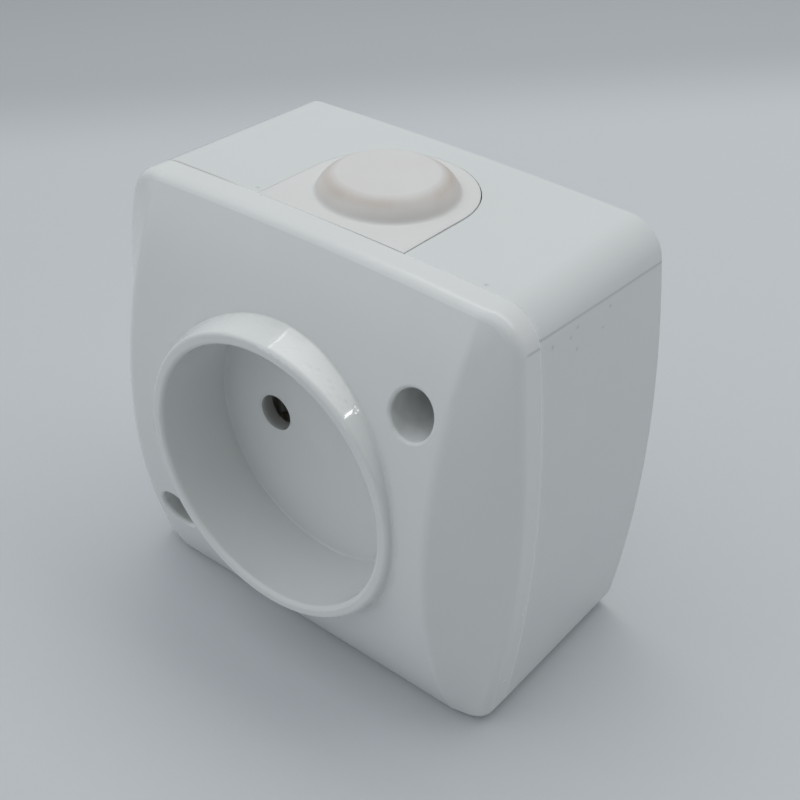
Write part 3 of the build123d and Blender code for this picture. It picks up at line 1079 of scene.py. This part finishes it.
@dataclass
class SlottedScrew:
    """Round-headed slotted screw with a rolled thread, its axis along Y and its head to the front.

    Attributes:
        node: CAD node that it stands for.
        head_height: Height of the head.
        shank_radius: Outer radius of the thread.
        pitch: Rise of the thread per turn.
        thread_depth: Depth of the thread.
        slot_width: Width of the driver slot.
        slot_depth: Depth of the slot.
        slot_draft: How much narrower the slot is at its floor, on each side.
        head_round: Rounding of the head.
        tip: Length of the plain tip.
        turn: Angle of the slot about the axis.
        rows: Rows across the head.
        turn_rings: Rings per turn of the thread.
        end_step: How far the end is set in from the thread, in thread depths.
    """

    node: str
    head_height: float
    shank_radius: float
    pitch: float
    thread_depth: float = 0.0003
    slot_width: float = 0.0009
    slot_depth: float = 0.0010
    slot_draft: float = 0.00003
    head_round: float = 0.0005
    tip: float = 0.0006
    turn: float = 0.0
    rows: int = 27
    turn_rings: int = 8
    end_step: float = 1.6

    # Room beside the slot in half-widths, rings of the head's rounding, and start of the thread in pitches.
    SLOT_ROOM = 1.15
    ROUND_RINGS = 6
    THREAD_START = 0.25

    def __post_init__(self) -> None:
        """Take the place and the overall sizes from the CAD node."""
        low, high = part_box(self.node)
        self.axis = (low + high) / 2
        self.head_radius = (high.x - low.x) / 2
        self.top = -low.y
        self.length = high.y - low.y - self.head_height
        self.crown = self.head_radius - self.head_round

    def row_angles(self) -> tuple[np.ndarray, np.ndarray]:
        """Angles of the rows across the head's crown, with two rows at each wall of the slot.

        Returns:
            The angles from -90 to 90 degrees, and which rows belong to the slot.
        """
        wall = math.asin(self.slot_width / 2 / self.crown)
        floor = math.asin((self.slot_width / 2 - self.slot_draft) / self.crown)
        plain = np.linspace(-np.pi / 2, np.pi / 2, self.rows)
        plain = plain[np.abs(plain) > self.SLOT_ROOM * wall]
        angles = np.sort(np.concatenate([plain, [-wall, -floor, 0.0, floor, wall]]))
        return angles, np.abs(angles) < (wall + floor) / 2

    def columns(self, radius: np.ndarray) -> tuple[np.ndarray, np.ndarray]:
        """Places round rings: up the right side row by row and down the left side.

        Rows at the slot keep their distance from its middle on every ring, so the slot's walls stay straight.

        Args:
            radius: Radii of the rings.

        Returns:
            Angles by ring and column, and which columns lie in the slot.
        """
        angles, inside = self.row_angles()
        near = np.abs(np.sin(angles)) * self.crown <= self.slot_width / 2 + 1e-9
        scaled = np.arcsin(np.clip(self.crown * np.sin(angles) / radius[:, None], -1, 1))
        right = np.where(near & (radius[:, None] >= self.crown), scaled, angles)
        left = np.pi - right[:, -2:0:-1]
        return np.concatenate([right, left], axis=1), np.concatenate([inside, inside[-2:0:-1]])

    def profile(self) -> tuple[np.ndarray, np.ndarray]:
        """Radii and depths of the head's plain rings from the crown's edge to the root of the shank.

        Returns:
            Radii and heights over the seat.
        """
        swing = np.linspace(0, np.pi / 2, self.ROUND_RINGS)
        radii = self.crown + self.head_round * np.sin(swing)
        heights = self.head_height - self.head_round * (1 - np.cos(swing))
        return np.append(radii, [self.head_radius, self.shank_radius]), np.append(heights, [0.0, 0.0])

    def thread(self, angles: np.ndarray) -> tuple[np.ndarray, np.ndarray]:
        """Rolled thread: the radius falls by the depth times a triangle wave of (height / pitch + turn).

        Args:
            angles: Angles round the shank.

        Returns:
            Radii by ring and column, and heights over the seat.
        """
        run = self.length - self.tip
        heights = -np.linspace(self.THREAD_START * self.pitch, run, int(run / self.pitch * self.turn_rings))
        phase = heights[:, None] / self.pitch + angles[None, :] / (2 * np.pi)
        wave = np.abs(2 * (phase - np.floor(phase)) - 1)
        fade = np.clip((run + heights) / self.pitch, 0, 1)[:, None]
        return self.shank_radius - self.thread_depth * (1 - wave * fade), heights

    def build(self, material: bpy.types.Material) -> bpy.types.Object:
        """Build the screw in place of its CAD solid.

        Args:
            material: Its finish.

        Returns:
            The piece.
        """
        radii, heights = self.profile()
        angles, inside = self.columns(radii)
        floor = self.head_height - self.slot_depth
        head_height = np.where(inside, np.minimum(heights[:, None], floor), heights[:, None])
        shank_angles = angles[-1]
        shank_radii, shank_heights = self.thread(shank_angles)
        end_radius = self.shank_radius - self.end_step * self.thread_depth
        radius = np.concatenate([
            np.broadcast_to(radii[:, None], head_height.shape),
            shank_radii,
            np.full((1, len(shank_angles)), end_radius),
        ])
        height = np.concatenate([
            head_height,
            np.broadcast_to(shank_heights[:, None], shank_radii.shape),
            np.full((1, len(shank_angles)), -self.length),
        ])
        shank_turns = np.broadcast_to(shank_angles, (len(radius) - len(angles), len(shank_angles)))
        around = np.concatenate([angles, shank_turns])
        rings = np.stack([radius * np.cos(around), radius * np.sin(around), height], axis=-1)
        faces = ring_skin(rings).tolist()
        last = rings.shape[0] * rings.shape[1]
        faces += pole_fan(np.arange(last - rings.shape[1], last), last, False).tolist()
        tip = np.array([[0.0, 0.0, -self.length]])
        crown, crown_faces = self.crown_grid(rings[0], last + 1)
        points = self.placed(np.concatenate([rings.reshape(-1, 3), tip, crown]))
        piece = put_piece(self.node.replace("screw", "threaded_screw"), points, faces + crown_faces, material)
        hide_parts(self.node)
        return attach(piece, BODY)

    def crown_grid(self, ring: np.ndarray, start: int, inner: int = 5) -> tuple[np.ndarray, list]:
        """Close the crown with chords from the right to the left end of each row.

        Args:
            ring: Points of the crown's edge.
            start: Number of the first new vertex.
            inner: Points inside each chord.

        Returns:
            New points and faces.
        """
        rows = len(ring) // 2 + 1
        right = np.arange(rows)
        left = (len(ring) - right) % len(ring)
        share = np.linspace(0, 1, inner + 2)[1:-1]
        chords = ring[right[1:-1], None] * (1 - share[:, None]) + ring[left[1:-1], None] * share[:, None]
        numbers = start + np.arange((rows - 2) * inner).reshape(rows - 2, inner)
        numbers = np.concatenate([right[1:-1, None], numbers, left[1:-1, None]], axis=1)
        quads = np.stack([numbers[:-1, :-1], numbers[1:, :-1], numbers[1:, 1:], numbers[:-1, 1:]], axis=-1)
        poles = np.array([0, rows - 1])[:, None].repeat(inner + 1, axis=1)
        low_fan = np.stack([poles[0], numbers[0, :-1], numbers[0, 1:]], axis=-1)
        high_fan = np.stack([poles[1], numbers[-1, 1:], numbers[-1, :-1]], axis=-1)
        return chords.reshape(-1, 3), quads.reshape(-1, 4).tolist() + low_fan.tolist() + high_fan.tolist()

    def placed(self, points: np.ndarray) -> np.ndarray:
        """Turn the screw about its axis and lay it along Y with its head to the front.

        Args:
            points: Points with the axis upright and the seat at height 0.

        Returns:
            Points in the frame of the part.
        """
        cosine, sine = math.cos(self.turn), math.sin(self.turn)
        across = points[:, 0] * cosine - points[:, 1] * sine
        upward = points[:, 0] * sine + points[:, 1] * cosine
        seat = -self.top + self.head_height
        return np.stack([self.axis.x + across, seat - points[:, 2], self.axis.z + upward], axis=-1)


def dress_node(node: str, material: bpy.types.Material) -> bpy.types.Object:
    """Give a CAD node its finish.

    Args:
        node: Name of the node.
        material: Its finish.

    Returns:
        The node's object.
    """
    piece = frame["nodes"][node]
    piece.data.materials.clear()
    piece.data.materials.append(material)
    return piece


@dataclass
class CoverAssembly:
    """Arched cover with its collar, and the two screws deep in it.

    Attributes:
        shelf: The shared effects.
        white: Colour of the moulding.
        roughness: Roughness of its polish.
        soil_and_shade: Colour of the dirt on it, of the painted shade in its pin holes and of its seam
            painted darker at the left end.
        screw: Head height, thread radius and pitch of a screw.
        slot_turns: Turns of the two screws' slots.
    """

    shelf: EffectShelf
    white: Colour = (0.785, 0.80, 0.795)
    roughness: float = 0.075
    soil_and_shade: Colour = (0.38, 0.37, 0.34)
    screw: Point = (0.0020, 0.0015, 0.0008)
    slot_turns: Span = (0.5, 1.9)

    def finish(self) -> CoverFinish:
        """Work out the cover's finish from the places of its holes.

        Returns:
            The finish.
        """
        pins = tuple(tuple(mount(f"pin_hole_{side}")["pos_m"]) for side in SIDES)
        screws = tuple(tuple(middle_of(f"cover_screw_{end}")) for end in ENDS)
        return CoverFinish(
            "cover_gloss", self.white, self.roughness, side_from=0.0326, side_to=0.0315, line_height=0.0271,
            soil_and_shade=self.soil_and_shade, pin_places=pins, screw_places=screws)

    def build(self, steel: bpy.types.Material) -> list[bpy.types.Object]:
        """Dress the cover and build its screws.

        Args:
            steel: Finish of the screws.

        Returns:
            The pieces.
        """
        pieces = [dress_node("front_cover", self.finish().material(self.shelf))]
        for end, turn in zip(ENDS, self.slot_turns):
            pieces.append(SlottedScrew(f"cover_screw_{end}", *self.screw, turn=turn).build(steel))
        return pieces


@dataclass
class BoxAssembly:
    """Box and the soft cable grommet in its top.

    Attributes:
        shelf: The shared effects.
        white: Colour of the box.
        roughness: Roughness of its polish.
        side_flecks: Y, z and radius of the flecks on the right side.
        top_flecks: X, y and radius of the flecks on the top.
        rubber: Colour of the grommet.
        rubber_roughness: Its roughness.
        rubber_soil_and_shade: Colour of the dirt on it and of the painted shade at its dome's foot.
    """

    shelf: EffectShelf
    white: Colour = (0.735, 0.765, 0.76)
    roughness: float = 0.13
    side_flecks: tuple[Point, ...] = (
        (-0.0263, 0.0275, 0.00026), (-0.0210, 0.0249, 0.00022), (-0.0223, 0.0270, 0.00020),
        (-0.0207, 0.0277, 0.00024), (-0.0149, 0.0251, 0.00018), (-0.0130, 0.0272, 0.00022),
    )
    top_flecks: tuple[Point, ...] = (
        (0.0241, -0.0279, 0.00026), (-0.0107, -0.0280, 0.00020), (-0.0135, -0.0277, 0.00024))
    rubber: Colour = (0.735, 0.735, 0.725)
    rubber_roughness: float = 0.46
    rubber_soil_and_shade: Colour = (0.51, 0.41, 0.34)

    def marks(self) -> tuple[Mark, ...]:
        """Put the flecks of both faces together; the coordinate across a face is left at 0."""
        side = tuple((Facing.SIDE, (0.0, y, z), radius) for y, z, radius in self.side_flecks)
        return side + tuple((Facing.TOP, (x, y, 0.0), radius) for x, y, radius in self.top_flecks)

    def build(self) -> list[bpy.types.Object]:
        """Dress the box and build the grommet.

        Returns:
            The pieces.
        """
        finish = WhiteMoulding("box_gloss", self.white, self.roughness, marks=self.marks())
        grommet = SoftGrommet()
        rubber = SoftRubber(
            "grommet_soft", self.rubber, self.rubber_roughness, self.rubber_soil_and_shade, tuple(grommet.centre),
            grommet.dome_radius - grommet.dome_slope, grommet.dome_radius)
        return [
            dress_node("back_box", finish.material(self.shelf)),
            grommet.build(rubber.material(self.shelf)),
        ]


@dataclass
class ContactAssembly:
    """Insulating carrier with the brass clips, springs and terminals on it.

    Attributes:
        shelf: The shared effects.
        carrier_screw: Head height, thread radius and pitch of a carrier screw.
        carrier_turn: Turn of its slot.
        terminal_screw: Head height, thread radius and pitch of a terminal screw.
        terminal_turn: Turn of its slot.
    """

    shelf: EffectShelf
    carrier_screw: Point = (0.0021, 0.0015, 0.0008)
    carrier_turn: float = 1.2
    terminal_screw: Point = (0.0023, 0.00175, 0.0006)
    terminal_turn: float = 0.7

    def build(self, steel: bpy.types.Material) -> list[bpy.types.Object]:
        """Dress the carrier and the contacts, and build their screws.

        Args:
            steel: Finish of the screws and clamp plates.

        Returns:
            The pieces.
        """
        ivory = MattMoulding("carrier_ivory", (0.66, 0.62, 0.52), 0.55)
        brass = BrightMetal("contact_brass", (0.78, 0.60, 0.30), 0.28, (0.38, 0.26, 0.13), 0.4)
        plating = BrightMetal("clip_plating", (0.72, 0.71, 0.69), 0.5, (0.50, 0.48, 0.45), 0.4, bare=0.3)
        blued = BrightMetal("spring_blue", (0.40, 0.42, 0.46), 0.32, (0.20, 0.19, 0.22), 0.5)
        finishes = {
            "contact_clip": plating.material(self.shelf),
            "contact_spring": blued.material(self.shelf),
            "terminal_nut": brass.material(self.shelf),
            "clamp_plate": steel,
        }
        pieces = [dress_node("contact_carrier", ivory.material(self.shelf))]
        for side in SIDES:
            pieces += [dress_node(f"{node}_{side}", material) for node, material in finishes.items()]
            screw = SlottedScrew(f"terminal_screw_{side}", *self.terminal_screw, turn=self.terminal_turn)
            pieces.append(screw.build(steel))
        for end in ENDS:
            screw = SlottedScrew(f"carrier_screw_{end}", *self.carrier_screw, turn=self.carrier_turn)
            pieces.append(screw.build(steel))
        return pieces


@dataclass
class Studio:
    """Pale paper floor, soft light and the camera.

    Attributes:
        shelf: The shared effects.
        paper: Finish of the floor.
        floor_half: Half the width of the floor.
        lamps: Place, length along X and Y, and watts of each flat lamp: a panel overhead, and two small lamps
            at its ends that glint in the collar.
        lamp_colour: Their colour.
        room_colour: Colour of the room.
        room_level: Its strength.
        glows: Direction, cosines between which it sets in and change of strength of each part of the room
            that differs: dimmer overhead and where the viewer stands, brighter above the front.
        azimuth: Turn of the camera from straight in front.
        elevation: Angle of the camera above the horizon.
        roll: Turn of the camera about its line of sight.
        focal_pixels: Focal length in pixels of the square picture.
        picture: Width of the picture in pixels.
        sensor: Width of the camera's sensor in millimetres.
        near_clip: Nearest distance that the camera sees.
        camera_place: Place of the camera.
    """

    shelf: EffectShelf
    paper: PaintedShadePaper = PaintedShadePaper(
        "floor_paper", (0.605, 0.63, 0.652), 0.62, shade_and_fibre_colour=(0.40, 0.42, 0.44), way=(-0.78, 0.63, 0.0))
    floor_half: float = 1.5
    lamps: tuple[tuple[str, Point, Span, float], ...] = (
        ("ceiling_panel", (0.05, 0.20, 0.60), (0.84, 0.30), 1.46),
        ("panel_end", (0.458, 0.126, 0.596), (0.014, 0.014), 0.05),
        ("panel_start", (-0.345, 0.17, 0.596), (0.012, 0.012), 0.003),
    )
    lamp_colour: Colour = (1.0, 0.99, 0.97)
    room_colour: Colour = (0.93, 0.97, 1.0)
    room_level: float = 0.54
    glows: tuple[tuple[Point, float, float, float], ...] = (
        ((0.0, 0.0, 1.0), 0.25, 0.85, -0.28),
        ((0.36, -0.92, 0.12), 0.2, 0.95, -0.44),
        ((-0.20, -0.52, 0.83), 0.45, 0.95, 0.78),
    )
    azimuth: float = math.radians(38.27)
    elevation: float = math.radians(34.78)
    roll: float = math.radians(1.78)
    focal_pixels: float = 1367.17
    picture: float = 800.0
    sensor: float = 36.0
    near_clip: float = 0.005
    camera_place: Point = (0.1034, -0.14418, 0.11386)

    def floor(self) -> None:
        """Lay the floor under the object's lowest point."""
        level = cad_box[0][2]
        corners = self.floor_half * np.array([[-1, -1, 0], [1, -1, 0], [1, 1, 0], [-1, 1, 0]])
        material = self.paper.material(self.shelf)
        put_piece("paper_floor", corners + [0, 0, level], [[0, 1, 2, 3]], material)

    def light(self) -> None:
        """Hang the lamps, which shine straight down."""
        for name, place, size, power in self.lamps:
            lamp = bpy.data.lights.new(name, "AREA")
            lamp.shape = "RECTANGLE"
            lamp.size, lamp.size_y = size
            lamp.energy = power
            lamp.color = self.lamp_colour
            holder = bpy.data.objects.new(name, lamp)
            holder.location = place
            bpy.context.scene.collection.objects.link(holder)

    def room(self) -> None:
        """Surround the scene with a pale room."""
        world = bpy.data.worlds.new("studio_room")
        world.use_nodes = True
        bpy.context.scene.world = world
        board = Board(world.node_tree)
        way = board.node("TexCoord", {}).outputs["Generated"]
        level: Value = self.room_level
        for middle, start, end, change in self.glows:
            toward = board.vector("DOT_PRODUCT", way, middle)
            level = board.sum(level, board.product(board.rise(toward, start, end), change))
        backdrop = world.node_tree.nodes["Background"]
        board.feed(backdrop.inputs["Color"], self.room_colour)
        board.feed(backdrop.inputs["Strength"], level)

    def camera(self) -> None:
        """Set the camera at the photograph's angle."""
        flat = math.cos(self.elevation)
        back = Vector((
            math.sin(self.azimuth) * flat,
            -math.cos(self.azimuth) * flat,
            math.sin(self.elevation),
        ))
        right = (-back).cross(Vector((0, 0, 1))).normalized()
        up = right.cross(-back)
        across = right * math.cos(self.roll) + up * math.sin(self.roll)
        upward = up * math.cos(self.roll) - right * math.sin(self.roll)
        lens = bpy.data.cameras.new("camera")
        lens.sensor_width = self.sensor
        lens.lens = self.focal_pixels / self.picture * lens.sensor_width
        lens.clip_start = self.near_clip
        holder = bpy.data.objects.new("camera", lens)
        pose = Matrix((across, upward, back)).transposed().to_4x4()
        pose.translation = self.camera_place
        holder.matrix_world = pose
        bpy.context.scene.collection.objects.link(holder)
        bpy.context.scene.camera = holder

    def build(self) -> None:
        """Build floor, light, room and camera."""
        bpy.context.scene.view_settings.view_transform = "Standard"
        self.floor()
        self.light()
        self.room()
        self.camera()


def main() -> None:
    """Build the sub-assemblies in order, then the studio."""
    logging.basicConfig(level=logging.INFO, format="%(name)s: %(message)s")
    shelf = EffectShelf()
    plate = BrightMetal("screw_plate", (0.62, 0.63, 0.64), 0.30, (0.36, 0.34, 0.30), 0.35)
    steel = plate.material(shelf)
    pieces = CoverAssembly(shelf).build(steel)
    pieces += BoxAssembly(shelf).build()
    pieces += ContactAssembly(shelf).build(steel)
    for piece in pieces:
        log.info("%s, %d faces", piece.name, len(piece.data.polygons))
    Studio(shelf).build()


if __name__ == "__main__":
    main()
